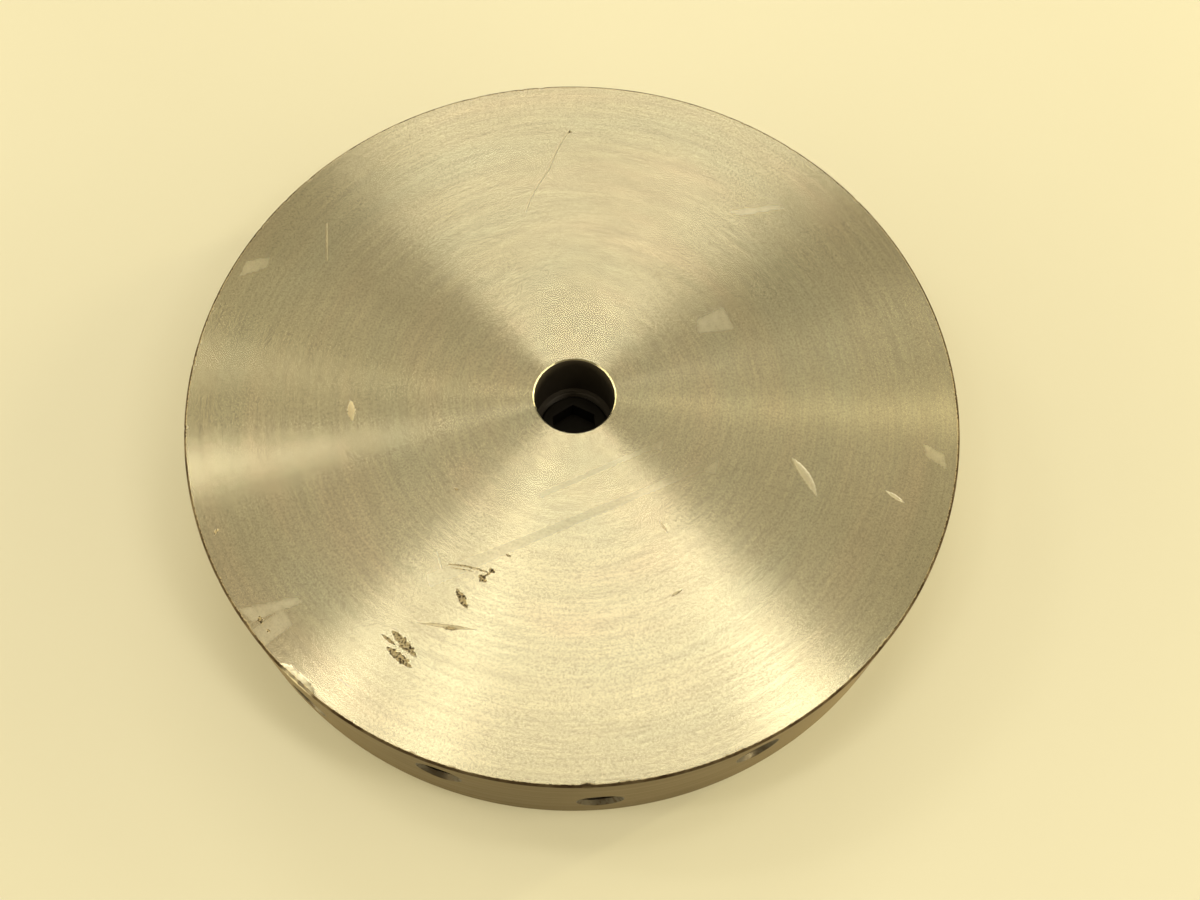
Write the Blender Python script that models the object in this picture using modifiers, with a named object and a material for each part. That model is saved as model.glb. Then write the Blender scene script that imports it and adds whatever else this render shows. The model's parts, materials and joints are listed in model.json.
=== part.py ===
"""Blind flange: a thick turned steel disc with a plugged centre bore, two staggered rows of
tapped radial holes in its rim, a set screw in each of them and a seal ring in its underside.

Metres, +Z up.  The origin is the centre of the underside; the disc's axis is +Z, and one
hole of the lower row faces -Y.
"""

import math

import bmesh
import bpy
from mathutils import Matrix, Vector

MM = 0.001

# Disc
DISC_RADIUS = 150.0 * MM
DISC_HEIGHT = 51.0 * MM
EDGE_BREAK = 0.8 * MM
DISC_STEPS = 96

# Centre bore: plain above, tapped M30 x 1.5 below, with a lip left at the underside
BORE_RADIUS = 15.8 * MM
BORE_BREAK = 0.5 * MM
BORE_FLOOR_Z = 24.0 * MM
PLUG_THREAD_MINOR_RADIUS = 14.2 * MM
LIP_RADIUS = 11.5 * MM
LIP_HEIGHT = 4.0 * MM

# Seal groove in the underside
GROOVE_MIDDLE_RADIUS = 112.0 * MM
GROOVE_WIDTH = 7.0 * MM
GROOVE_DEPTH = 4.3 * MM

# Radial holes in the rim, M16, alternating between an upper and a lower row
RIM_HOLE_COUNT = 16
RIM_UPPER_ROW_Z = DISC_HEIGHT - 16.0 * MM
RIM_LOWER_ROW_Z = DISC_HEIGHT - 30.0 * MM
RIM_THREAD_MINOR_RADIUS = 7.0 * MM
RIM_MOUTH_RADIUS = 9.1 * MM
DRILL_POINT_HALF_ANGLE = math.radians(59.0)
CUTTER_OVERRUN = 2.0 * MM

# Pieces that touch keep this gap, which also stands for the thread clearance
GAP = 0.3 * MM

# Set screws, slotted with a flat point
SCREW_LENGTH = 20.0 * MM
SCREW_RECESS = 3.8 * MM
SCREW_RADIUS = RIM_THREAD_MINOR_RADIUS - GAP
SCREW_POINT_RADIUS = 5.2 * MM
SCREW_END_BREAK = 1.0 * MM
SCREW_SLOT_WIDTH = 2.5 * MM
SCREW_SLOT_DEPTH = 4.5 * MM
SCREW_SLOT_TURN = math.radians(47.0)
SCREW_STEPS = 24

# Centre plug with a hexagon socket, and the ring it seals on
PLUG_RADIUS = PLUG_THREAD_MINOR_RADIUS - GAP
PLUG_HEIGHT = 16.0 * MM
PLUG_BREAK = 1.0 * MM
PLUG_SOCKET_FLATS = 17.0 * MM
PLUG_SOCKET_DEPTH = 9.0 * MM
PLUG_STEPS = 48
SEAL_RING_SECTION = 2.0 * MM
SEAL_RING_OUTER_RADIUS = 13.8 * MM
PLUG_BASE_Z = LIP_HEIGHT + GAP + SEAL_RING_SECTION + GAP

# Seal ring of the underside, drawn squeezed to its groove
FACE_RING_WIDTH = 6.0 * MM
FACE_RING_HEIGHT = 3.7 * MM
FACE_RING_STEPS = 64
RING_SECTION_POINTS = 8


def clear_scene():
    for obj in list(bpy.data.objects):
        bpy.data.objects.remove(obj, do_unlink=True)


def new_collection(name):
    collection = bpy.data.collections.new(name)
    bpy.context.scene.collection.children.link(collection)
    return collection


def metal(name, colour, roughness):
    return surface(name, colour, roughness, 1.0)


def surface(name, colour, roughness, metallic):
    material = bpy.data.materials.new(name)
    material.use_nodes = True
    shader = material.node_tree.nodes["Principled BSDF"]
    shader.inputs["Base Color"].default_value = (*colour, 1.0)
    shader.inputs["Roughness"].default_value = roughness
    shader.inputs["Metallic"].default_value = metallic
    material.diffuse_color = (*colour, 1.0)
    return material


def turned_mesh(name, profile, steps):
    """Mesh of a (radius, height) profile turned about Z.

    The profile runs down the piece's outer side.  One that starts and ends on the axis is
    left open there, and any other is closed into a ring.
    """
    mesh = bpy.data.meshes.new(name + "_profile")
    points = [(radius, 0.0, height) for radius, height in profile]
    edges = [(i, i + 1) for i in range(len(points) - 1)]
    on_axis = profile[0][0] == 0.0 and profile[-1][0] == 0.0
    if not on_axis:
        edges.append((len(points) - 1, 0))
    mesh.from_pydata(points, edges, [])
    lathe_object = bpy.data.objects.new(name + "_lathe", mesh)
    bpy.context.scene.collection.objects.link(lathe_object)
    screw = lathe_object.modifiers.new("turn", "SCREW")
    screw.axis = "Z"
    screw.steps = steps
    screw.render_steps = steps
    screw.use_merge_vertices = True
    screw.merge_threshold = 0.00001
    return finished_mesh(lathe_object, name)


def finished_mesh(obj, name):
    """Mesh of the object with its modifiers applied; the object itself is removed."""
    bpy.context.view_layer.update()
    evaluated = obj.evaluated_get(bpy.context.evaluated_depsgraph_get())
    mesh = bpy.data.meshes.new_from_object(evaluated)
    mesh.name = name
    bpy.data.objects.remove(obj, do_unlink=True)
    return mesh


def smooth_round_faces(mesh):
    mesh.shade_smooth()
    mesh.set_sharp_from_angle(angle=math.radians(30.0))


def place(name, mesh, collection, matrix=None):
    obj = bpy.data.objects.new(name, mesh)
    collection.objects.link(obj)
    obj.matrix_world = matrix if matrix else Matrix.Identity(4)
    return obj


def place_cutter(name, mesh, collection, matrix=None):
    obj = place(name, mesh, collection, matrix)
    obj.hide_render = True
    obj.display_type = "WIRE"
    return obj


def cut(obj, cutter):
    boolean = obj.modifiers.new("cut_" + cutter.name, "BOOLEAN")
    boolean.operation = "DIFFERENCE"
    boolean.solver = "EXACT"
    boolean.object = cutter


def rim_hole_frame(index):
    """Placement whose local Z runs out along the hole, from the disc's axis."""
    azimuth = 2.0 * math.pi * index / RIM_HOLE_COUNT
    outward = Vector((math.sin(azimuth), -math.cos(azimuth), 0.0))
    row_z = RIM_LOWER_ROW_Z if index % 2 == 0 else RIM_UPPER_ROW_Z
    centre = Vector((0.0, 0.0, row_z))
    return Matrix.Translation(centre) @ outward.to_track_quat("Z", "Y").to_matrix().to_4x4()


def disc_profile():
    groove_outer = GROOVE_MIDDLE_RADIUS + GROOVE_WIDTH / 2.0
    groove_inner = GROOVE_MIDDLE_RADIUS - GROOVE_WIDTH / 2.0
    return [
        (BORE_RADIUS + BORE_BREAK, DISC_HEIGHT),
        (DISC_RADIUS - EDGE_BREAK, DISC_HEIGHT),
        (DISC_RADIUS, DISC_HEIGHT - EDGE_BREAK),
        (DISC_RADIUS, EDGE_BREAK),
        (DISC_RADIUS - EDGE_BREAK, 0.0),
        (groove_outer, 0.0),
        (groove_outer, GROOVE_DEPTH),
        (groove_inner, GROOVE_DEPTH),
        (groove_inner, 0.0),
        (LIP_RADIUS + BORE_BREAK, 0.0),
        (LIP_RADIUS, BORE_BREAK),
        (LIP_RADIUS, LIP_HEIGHT),
        (PLUG_THREAD_MINOR_RADIUS, LIP_HEIGHT),
        (PLUG_THREAD_MINOR_RADIUS, BORE_FLOOR_Z),
        (BORE_RADIUS, BORE_FLOOR_Z + BORE_RADIUS - PLUG_THREAD_MINOR_RADIUS),
        (BORE_RADIUS, DISC_HEIGHT - BORE_BREAK),
    ]


def rim_hole_profile():
    """Tapped blind hole with a 45 degree mouth and a drill point; heights are radii of the disc."""
    outer_end = DISC_RADIUS + CUTTER_OVERRUN
    mouth_depth = RIM_MOUTH_RADIUS - RIM_THREAD_MINOR_RADIUS
    seat = DISC_RADIUS - SCREW_RECESS - SCREW_LENGTH - GAP
    point_depth = RIM_THREAD_MINOR_RADIUS / math.tan(DRILL_POINT_HALF_ANGLE)
    return [
        (0.0, outer_end),
        (RIM_MOUTH_RADIUS + CUTTER_OVERRUN, outer_end),
        (RIM_THREAD_MINOR_RADIUS, DISC_RADIUS - mouth_depth),
        (RIM_THREAD_MINOR_RADIUS, seat),
        (0.0, seat - point_depth),
    ]


def make_disc(collection, cutters, material):
    mesh = turned_mesh("flange_disc", disc_profile(), DISC_STEPS)
    disc = place("flange_disc", mesh, collection)
    hole_mesh = turned_mesh("rim_hole_cutter", rim_hole_profile(), SCREW_STEPS)
    for index in range(RIM_HOLE_COUNT):
        cutter = place_cutter(f"rim_hole_{index + 1:02d}", hole_mesh, cutters, rim_hole_frame(index))
        cut(disc, cutter)
    smooth_round_faces(mesh)
    mesh.materials.append(material)
    return disc


def screw_profile():
    point_break = SCREW_RADIUS - SCREW_POINT_RADIUS
    return [
        (0.0, SCREW_LENGTH),
        (SCREW_RADIUS - SCREW_END_BREAK, SCREW_LENGTH),
        (SCREW_RADIUS, SCREW_LENGTH - SCREW_END_BREAK),
        (SCREW_RADIUS, point_break),
        (SCREW_POINT_RADIUS, 0.0),
        (0.0, 0.0),
    ]


def slot_cutter_mesh():
    """Box across the screw's outer end, one slot deep."""
    mesh = bpy.data.meshes.new("slot_cutter")
    box = bmesh.new()
    bmesh.ops.create_cube(box, size=1.0)
    length = 2.0 * (SCREW_RADIUS + CUTTER_OVERRUN)
    height = SCREW_SLOT_DEPTH + CUTTER_OVERRUN
    bmesh.ops.scale(box, vec=(length, SCREW_SLOT_WIDTH, height), verts=box.verts)
    middle = SCREW_LENGTH - SCREW_SLOT_DEPTH + height / 2.0
    bmesh.ops.translate(box, vec=(0.0, 0.0, middle), verts=box.verts)
    box.to_mesh(mesh)
    box.free()
    return mesh


def screw_mesh(cutters, material):
    blank = place("rim_screw_blank", turned_mesh("screw_blank", screw_profile(), SCREW_STEPS), cutters)
    slot = place_cutter("screw_slot", slot_cutter_mesh(), cutters)
    cut(blank, slot)
    mesh = finished_mesh(blank, "rim_screw")
    smooth_round_faces(mesh)
    mesh.materials.append(material)
    return mesh


def make_rim_screws(collection, cutters, material):
    """One set screw in each rim hole; its origin is on the hole's axis, at its seat."""
    mesh = screw_mesh(cutters, material)
    seat_radius = DISC_RADIUS - SCREW_RECESS - SCREW_LENGTH
    for index in range(RIM_HOLE_COUNT):
        seat = Matrix.Translation((0.0, 0.0, seat_radius))
        turn = Matrix.Rotation(SCREW_SLOT_TURN * index, 4, "Z")
        place(f"rim_screw_{index + 1:02d}", mesh, collection, rim_hole_frame(index) @ seat @ turn)


def plug_profile():
    return [
        (0.0, PLUG_HEIGHT),
        (PLUG_RADIUS - PLUG_BREAK, PLUG_HEIGHT),
        (PLUG_RADIUS, PLUG_HEIGHT - PLUG_BREAK),
        (PLUG_RADIUS, PLUG_BREAK),
        (PLUG_RADIUS - PLUG_BREAK, 0.0),
        (0.0, 0.0),
    ]


def hexagon_cutter_mesh():
    mesh = bpy.data.meshes.new("hexagon_cutter")
    prism = bmesh.new()
    corner_radius = PLUG_SOCKET_FLATS / math.sqrt(3.0)
    height = PLUG_SOCKET_DEPTH + CUTTER_OVERRUN
    bmesh.ops.create_cone(
        prism, cap_ends=True, segments=6, radius1=corner_radius, radius2=corner_radius, depth=height)
    middle = PLUG_HEIGHT - PLUG_SOCKET_DEPTH + height / 2.0
    bmesh.ops.translate(prism, vec=(0.0, 0.0, middle), verts=prism.verts)
    prism.to_mesh(mesh)
    prism.free()
    return mesh


def make_centre_plug(collection, cutters, material):
    mesh = turned_mesh("centre_plug", plug_profile(), PLUG_STEPS)
    base = Matrix.Translation((0.0, 0.0, PLUG_BASE_Z))
    plug = place("centre_plug", mesh, collection, base)
    cut(plug, place_cutter("plug_socket", hexagon_cutter_mesh(), cutters, base))
    smooth_round_faces(mesh)
    mesh.materials.append(material)


def ring_profile(middle_radius, base_z, width, height):
    """Oval section of a squeezed ring, from its top round its outer side."""
    points = []
    for i in range(RING_SECTION_POINTS):
        angle = math.pi / 2.0 - 2.0 * math.pi * i / RING_SECTION_POINTS
        radius = middle_radius + width / 2.0 * math.cos(angle)
        points.append((radius, base_z + height / 2.0 * (1.0 + math.sin(angle))))
    return points


def make_ring(name, profile, steps, collection, material):
    mesh = turned_mesh(name, profile, steps)
    place(name, mesh, collection)
    smooth_round_faces(mesh)
    mesh.materials.append(material)


def make_seals(collection, rubber, copper):
    face_profile = ring_profile(GROOVE_MIDDLE_RADIUS, GAP, FACE_RING_WIDTH, FACE_RING_HEIGHT)
    make_ring("face_seal_ring", face_profile, FACE_RING_STEPS, collection, rubber)
    middle_radius = SEAL_RING_OUTER_RADIUS - SEAL_RING_SECTION / 2.0
    plug_profile_points = ring_profile(
        middle_radius, LIP_HEIGHT + GAP, SEAL_RING_SECTION, SEAL_RING_SECTION)
    make_ring("plug_seal_ring", plug_profile_points, PLUG_STEPS, collection, copper)


def main():
    clear_scene()
    flange = new_collection("blind_flange")
    cutters = new_collection("cutters")
    steel = metal("turned_steel", (0.56, 0.53, 0.45), 0.35)
    black_steel = metal("blackened_steel", (0.05, 0.048, 0.045), 0.5)
    copper = metal("copper", (0.72, 0.38, 0.24), 0.4)
    rubber = surface("black_rubber", (0.02, 0.02, 0.02), 0.6, 0.0)
    make_disc(flange, cutters, steel)
    make_rim_screws(flange, cutters, black_steel)
    make_centre_plug(flange, cutters, black_steel)
    make_seals(flange, rubber, copper)


main()
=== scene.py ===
import json
import math

import bmesh
import bpy
import numpy as np
from mathutils import Matrix, Vector, noise
from mathutils.geometry import delaunay_2d_cdt


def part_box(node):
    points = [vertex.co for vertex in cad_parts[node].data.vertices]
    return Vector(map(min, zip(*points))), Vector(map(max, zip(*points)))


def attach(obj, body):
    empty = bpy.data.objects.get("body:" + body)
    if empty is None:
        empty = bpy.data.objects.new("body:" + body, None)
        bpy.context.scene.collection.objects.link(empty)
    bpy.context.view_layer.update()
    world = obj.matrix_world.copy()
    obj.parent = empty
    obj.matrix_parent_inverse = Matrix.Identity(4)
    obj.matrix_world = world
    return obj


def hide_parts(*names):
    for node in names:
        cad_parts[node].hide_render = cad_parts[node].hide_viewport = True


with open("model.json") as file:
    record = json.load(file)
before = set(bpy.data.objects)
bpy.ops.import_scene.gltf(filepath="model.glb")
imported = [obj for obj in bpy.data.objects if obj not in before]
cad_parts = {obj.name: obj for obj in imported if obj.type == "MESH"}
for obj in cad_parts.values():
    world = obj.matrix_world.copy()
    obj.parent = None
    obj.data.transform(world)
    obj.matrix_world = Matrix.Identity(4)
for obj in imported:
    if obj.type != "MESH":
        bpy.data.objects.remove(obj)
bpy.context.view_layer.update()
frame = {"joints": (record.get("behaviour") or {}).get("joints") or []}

MM = 0.001

# --- Sizes taken from the frame -----------------------------------------------------------
disc_low, disc_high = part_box("flange_disc")
DISC_RADIUS = disc_high.x
TOP_Z = disc_high.z
GAP = 0.3 * MM                    # between threads, and round loose pieces
EDGE_BREAK = 0.8 * MM
FACE_Z = TOP_Z - 0.05 * MM        # burrs stand up to the frame's top face

plug_low, plug_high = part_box("centre_plug")
PLUG_RADIUS = plug_high.x
PLUG_TAPPING_RADIUS = PLUG_RADIUS + GAP
PLUG_THREAD_DEPTH = 0.8 * MM
PLUG_PITCH = 1.5 * MM
PLUG_BREAK = 1.0 * MM
SOCKET_FLATS = 17.0 * MM
SOCKET_DEPTH = 9.0 * MM
BORE_RADIUS = 15.8 * MM
BORE_BREAK = 0.5 * MM
BORE_FLOOR_Z = 24.0 * MM
LIP_RADIUS = 11.5 * MM
LIP_HEIGHT = 4.0 * MM

ring_low, ring_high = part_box("face_seal_ring")
GROOVE_OUTER = ring_high.x + 0.5 * MM
GROOVE_WIDTH = 7.0 * MM
GROOVE_DEPTH = 4.3 * MM
FACE_RING_WIDTH = 6.0 * MM
PLUG_RING_WIDTH = 2.0 * MM

HOLE_RADIUS = 7.0 * MM
HOLE_THREAD_DEPTH = 1.0 * MM
HOLE_PITCH = 2.0 * MM
HOLE_MOUTH_RADIUS = 9.1 * MM
DRILL_POINT_HALF_ANGLE = math.radians(59.0)
SCREW_LENGTH = 20.0 * MM
SCREW_RECESS = 3.8 * MM
SCREW_RADIUS = HOLE_RADIUS - GAP
SCREW_THREAD_DEPTH = 1.0 * MM
SCREW_BREAKS = (1.5 * MM, 1.0 * MM)
SLOT_WIDTH = 2.5 * MM
SLOT_DEPTH = 4.5 * MM
SLOT_TURN = math.radians(47.0)    # from one screw to the next, so the slots lie anyhow

rim_joints = [j for j in frame["joints"] if j["child"].startswith("rim_screw")]


def hole_places():
    """(body, azimuth from -Y towards +X, height) of each rim hole, from its screw."""
    places = []
    for joint in rim_joints:
        low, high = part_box(joint["child"])
        azimuth = math.atan2(joint["axis"][0], -joint["axis"][1])
        places.append((joint["child"], azimuth, (low.z + high.z) / 2.0))
    return places


def polar(radius, azimuth):
    return radius * math.sin(azimuth), -radius * math.cos(azimuth)


# --- Camera, floor and light -------------------------------------------------------------
# The camera looks down at 66 degrees and stands 4 degrees to the left of -Y.
SIDE_TURN = math.radians(-6.95)
SCENE_UNIT = DISC_RADIUS / 1.0055


def turned_place(x, y, z):
    """A place given in disc radii about the top face's centre, turned to the camera's side."""
    place = Vector((x, y, z)) * SCENE_UNIT
    return Matrix.Rotation(SIDE_TURN, 4, "Z") @ place + Vector((0.0, 0.0, TOP_Z))


def make_camera():
    camera = bpy.data.objects.new("camera", bpy.data.cameras.new("camera"))
    bpy.context.scene.collection.objects.link(camera)
    camera.data.sensor_width = 36.0
    camera.data.lens = 40.15
    camera.data.clip_start = 0.01
    pitch = math.radians(66.09)
    roll = math.radians(3.12)
    turn = Matrix.Rotation(SIDE_TURN, 4, "Z")
    tilt = Matrix.Rotation(math.pi / 2.0 - pitch, 4, "X")
    twist = Matrix.Rotation(roll, 4, "Z")
    place = Matrix.Translation(turned_place(0.0740, -1.5404, 3.1338))
    camera.matrix_world = place @ turn @ tilt @ twist
    bpy.context.scene.camera = camera
    bpy.context.scene.view_settings.view_transform = "Standard"


def area_light(name, place, size, radiance, colour, facing):
    """Soft panel of a given radiance; its place and size are in disc radii."""
    light = bpy.data.lights.new(name, "AREA")
    light.shape = "RECTANGLE"
    light.size = size[0] * SCENE_UNIT
    light.size_y = size[1] * SCENE_UNIT
    light.energy = radiance * math.pi * light.size * light.size_y
    light.color = colour
    lamp = bpy.data.objects.new(name, light)
    aim = (-Vector(facing)).to_track_quat("Z", "Y").to_matrix().to_4x4()
    side = Matrix.Rotation(SIDE_TURN, 4, "Z")
    lamp.matrix_world = Matrix.Translation(turned_place(*place)) @ side @ aim
    bpy.context.scene.collection.objects.link(lamp)


CEILING_HEIGHT = 10.0
CEILING_COLOUR = (1.0, 0.90, 0.675)
SIDE_COLOUR = (1.0, 0.85, 0.46)

# x, y, width, depth and radiance of each panel of the ceiling
CEILING_PANELS = (
    (0.0, 2.0, 3.0, 1.0, 7.6),
    (-0.4, 3.25, 5.25, 1.5, 0.75),
    (0.0, 5.0, 6.0, 2.0, 0.45),
    (0.0, 12.0, 10.0, 4.0, 3.6),
    (-4.4, -1.1, 1.25, 0.75, 26.0),
    (-2.6, -0.75, 2.2, 1.5, 4.4),
    (6.5, -2.25, 3.0, 1.5, 13.5),
    (4.0, -0.75, 2.0, 1.5, 10.0),
    (-10.0, 3.4, 4.0, 0.9, 17.0),
    (-10.0, 6.6, 4.0, 0.6, 9.0),
)
# x and radiance of the low panel on each side
SIDE_PANELS = ((-12.0, 9.4), (12.0, 10.6))
SIDE_PANEL_SIZE = (24.0, 3.0)
SIDE_PANEL_HEIGHT = 2.0
WORLD_COLOUR = (1.0, 0.81, 0.43, 1.0)
WORLD_STRENGTH = 0.35
DOWN, UP = (0.0, 0.0, -1.0), (0.0, 0.0, 1.0)


def make_lights():
    for index, (x, y, width, depth, radiance) in enumerate(CEILING_PANELS):
        place = (x, y, CEILING_HEIGHT)
        area_light(f"ceiling_panel_{index}", place, (width, depth), radiance, CEILING_COLOUR, DOWN)
    for x, radiance in SIDE_PANELS:
        place = (x, 0.0, SIDE_PANEL_HEIGHT)
        area_light("side_panel", place, SIDE_PANEL_SIZE, radiance, SIDE_COLOUR, (-x, 0.0, 0.0))
    area_light("side_tube", (12.0, 6.1, 6.0), (0.35, 3.5), 90.0, SIDE_COLOUR, (-1.0, 0.0, 0.0))
    # lights only the underside, which hides the rim and the top from it
    area_light("under_panel", (0.0, 0.0, -5.0), (1.6, 1.6), 14.0, CEILING_COLOUR, UP)
    world = bpy.data.worlds.new("room")
    world.use_nodes = True
    background = world.node_tree.nodes["Background"]
    background.inputs["Color"].default_value = WORLD_COLOUR
    background.inputs["Strength"].default_value = WORLD_STRENGTH
    bpy.context.scene.world = world


# --- Node material helpers ----------------------------------------------------------------
class Shader:
    """A node material with a Principled BSDF, and short calls to add nodes to it."""

    def __init__(self, name):
        self.material = bpy.data.materials.new(name)
        self.material.use_nodes = True
        self.tree = self.material.node_tree
        self.principled = self.tree.nodes["Principled BSDF"]

    def node(self, kind, inputs=None, **settings):
        node = self.tree.nodes.new(kind)
        for key, value in settings.items():
            setattr(node, key, value)
        for key, value in (inputs or {}).items():
            self.feed(node.inputs[key], value)
        return node

    def feed(self, socket, value):
        if isinstance(value, bpy.types.NodeSocket):
            self.tree.links.new(value, socket)
        else:
            socket.default_value = value

    def math(self, operation, a, b=0.0, c=0.0):
        return self.node("ShaderNodeMath", {0: a, 1: b, 2: c}, operation=operation).outputs[0]

    def combine(self, x, y, z):
        return self.node("ShaderNodeCombineXYZ", {0: x, 1: y, 2: z}).outputs[0]

    def noise(self, vector, scale=1.0, detail=2.0, roughness=0.5):
        inputs = {"Vector": vector, "Scale": scale, "Detail": detail, "Roughness": roughness}
        return self.node("ShaderNodeTexNoise", inputs).outputs["Fac"]

    def ramp(self, value, low, high, to_low=0.0, to_high=1.0):
        inputs = {"Value": value, "From Min": low, "From Max": high, "To Min": to_low, "To Max": to_high}
        return self.node("ShaderNodeMapRange", inputs).outputs[0]

    def mix(self, factor, a, b):
        node = self.node("ShaderNodeMix", data_type="RGBA")
        self.feed(node.inputs[0], factor)
        for socket, colour in ((node.inputs[6], a), (node.inputs[7], b)):
            self.feed(socket, colour if isinstance(colour, bpy.types.NodeSocket) else (*colour, 1.0))
        return node.outputs[2]

    def blend(self, factor, a, b):
        node = self.node("ShaderNodeMix", data_type="FLOAT")
        self.feed(node.inputs[0], factor)
        self.feed(node.inputs[2], a)
        self.feed(node.inputs[3], b)
        return node.outputs[0]

    def attribute(self, name):
        return self.node("ShaderNodeAttribute", attribute_name=name).outputs["Fac"]

    def finish(self, **sockets):
        names = {"colour": "Base Color", "rough": "Roughness", "metal": "Metallic", "normal": "Normal"}
        for key, value in sockets.items():
            self.feed(self.principled.inputs[names[key]], value)
        return self.material

    def bump(self, height, strength, distance):
        inputs = {"Height": height, "Strength": strength, "Distance": distance}
        return self.node("ShaderNodeBump", inputs).outputs[0]


def turning_coordinates(shader):
    """Position, height, distance from the axis, and a seamless vector that turns with the azimuth."""
    position = shader.node("ShaderNodeTexCoord").outputs["Object"]
    split = shader.node("ShaderNodeSeparateXYZ", {0: position})
    flat = shader.combine(split.outputs[0], split.outputs[1], 0.0)
    radius = shader.node("ShaderNodeVectorMath", {0: flat}, operation="LENGTH").outputs["Value"]
    around = shader.node("ShaderNodeVectorMath", {0: flat}, operation="NORMALIZE").outputs["Vector"]
    return position, split.outputs[2], radius, around


def brushed(shader, anisotropy):
    """Makes the metal brushed along the circles about the axis."""
    shader.principled.inputs["Anisotropic"].default_value = anisotropy
    shader.principled.inputs["Anisotropic Rotation"].default_value = 0.25
    tangent = shader.node("ShaderNodeTangent", direction_type="RADIAL", axis="Z").outputs[0]
    shader.feed(shader.principled.inputs["Tangent"], tangent)


def ring_noise(shader, distance, around, per_metre, slow, detail=2.0):
    """Noise drawn out along the circles about the axis."""
    split = shader.node("ShaderNodeSeparateXYZ", {0: around})
    vector = shader.combine(
        shader.math("MULTIPLY", distance, per_metre),
        shader.math("MULTIPLY", split.outputs[0], slow),
        shader.math("MULTIPLY", split.outputs[1], slow))
    return shader.noise(vector, 1.0, detail)


def faced_steel():
    """Faced top and underside: concentric tool marks, grain, and the wear attributes' colours; the dirt
    attribute also darkens the face's outer ring with painted shade at the top edge.
    """
    shader = Shader("faced_steel")
    position, _, radius, around = turning_coordinates(shader)
    fine = ring_noise(shader, radius, around, 1100.0, 5.0, 3.0)
    middle = ring_noise(shader, radius, around, 300.0, 2.5, 3.0)
    broad = ring_noise(shader, radius, around, 45.0, 1.3, 2.0)
    cloud = shader.noise(position, 16.0, 5.0, 0.6)
    mottle = shader.noise(position, 240.0, 4.0, 0.7)
    speckle = shader.noise(position, 1300.0, 2.0, 0.6)

    colour = shader.mix(shader.ramp(cloud, 0.3, 0.7), (0.59, 0.565, 0.44), (0.66, 0.64, 0.515))
    colour = shader.mix(shader.ramp(broad, 0.52, 0.72, 0.0, 0.28), colour, (0.72, 0.59, 0.47))
    colour = shader.mix(shader.ramp(broad, 0.48, 0.28, 0.0, 0.28), colour, (0.53, 0.58, 0.49))
    colour = shader.mix(shader.ramp(middle, 0.35, 0.7, 0.0, 0.20), colour, (0.46, 0.44, 0.36))
    colour = shader.mix(shader.ramp(fine, 0.40, 0.66, 0.0, 0.28), colour, (0.42, 0.40, 0.32))
    colour = shader.mix(shader.ramp(mottle, 0.45, 0.72, 0.0, 0.12), colour, (0.42, 0.40, 0.32))
    colour = shader.mix(shader.ramp(speckle, 0.46, 0.70, 0.0, 0.38), colour, (0.27, 0.24, 0.17))
    # dirt in the gouges and nicks, and painted shade along the top edge break
    soil = shader.attribute("soil")
    bare = shader.attribute("bare")
    rub = shader.attribute("rub")
    colour = shader.mix(shader.math("MULTIPLY", rub, 0.25), colour, (0.60, 0.59, 0.52))
    colour = shader.mix(bare, colour, (0.80, 0.78, 0.68))
    grit = shader.math("MULTIPLY_ADD", shader.noise(position, 1100.0, 3.0, 0.6), 5.0, -2.5)
    dark = shader.math("ADD", soil, shader.math("MULTIPLY", grit, shader.ramp(soil, 0.0, 0.4)))
    colour = shader.mix(shader.ramp(soil, 0.0, 0.4), colour, (0.74, 0.64, 0.42))
    colour = shader.mix(shader.ramp(dark, 0.50, 0.72), colour, (0.035, 0.022, 0.010))

    rough = shader.math("ADD", shader.ramp(cloud, 0.3, 0.7, 0.24, 0.27),
                        shader.ramp(middle, 0.3, 0.7, -0.004, 0.004))
    rough = shader.blend(bare, rough, 0.42)
    rough = shader.blend(rub, rough, 0.50)
    rough = shader.blend(shader.ramp(soil, 0.0, 0.5), rough, 0.7)
    brushed(shader, 0.97)
    return shader.finish(
        colour=colour, rough=rough, metal=shader.ramp(dark, 0.50, 0.72, 1.0, 0.3),
        normal=shader.bump(fine, 0.08, 0.004 * MM))


def turned_rim_steel():
    shader = Shader("turned_rim_steel")
    position, height, _, around = turning_coordinates(shader)
    fine = ring_noise(shader, height, around, 4000.0, 3.0)
    broad = ring_noise(shader, height, around, 900.0, 2.5, 3.0)
    cloud = shader.noise(position, 22.0, 4.0)
    colour = shader.mix(shader.ramp(cloud, 0.3, 0.7), (0.208, 0.167, 0.104), (0.252, 0.203, 0.129))
    colour = shader.mix(shader.ramp(broad, 0.35, 0.75, 0.0, 0.45), colour, (0.165, 0.130, 0.078))
    bare = shader.attribute("bare")
    soil = shader.attribute("soil")
    colour = shader.mix(bare, colour, (0.75, 0.70, 0.58))
    # darker where the attribute is high: dirt in the nicks, and painted shade along the top edge break
    colour = shader.mix(soil, colour, (0.05, 0.03, 0.015))
    rough = shader.ramp(broad, 0.3, 0.7, 0.48, 0.60)
    ridges = shader.math("ADD", shader.math("MULTIPLY", fine, 0.6), broad)
    brushed(shader, 0.6)
    return shader.finish(
        colour=colour, rough=shader.blend(soil, rough, 0.8), metal=0.85,
        normal=shader.bump(ridges, 0.15, 0.04 * MM))


def dark_bore_steel():
    shader = Shader("dark_bore_steel")
    _, height, _, around = turning_coordinates(shader)
    streaks = ring_noise(shader, height, around, 1500.0, 4.0)
    colour = shader.mix(shader.ramp(streaks, 0.3, 0.7), (0.040, 0.034, 0.029), (0.062, 0.053, 0.044))
    return shader.finish(colour=colour, rough=shader.ramp(streaks, 0.3, 0.7, 0.45, 0.6), metal=0.0,
                         normal=shader.bump(streaks, 0.1, 0.1 * MM))


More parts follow.
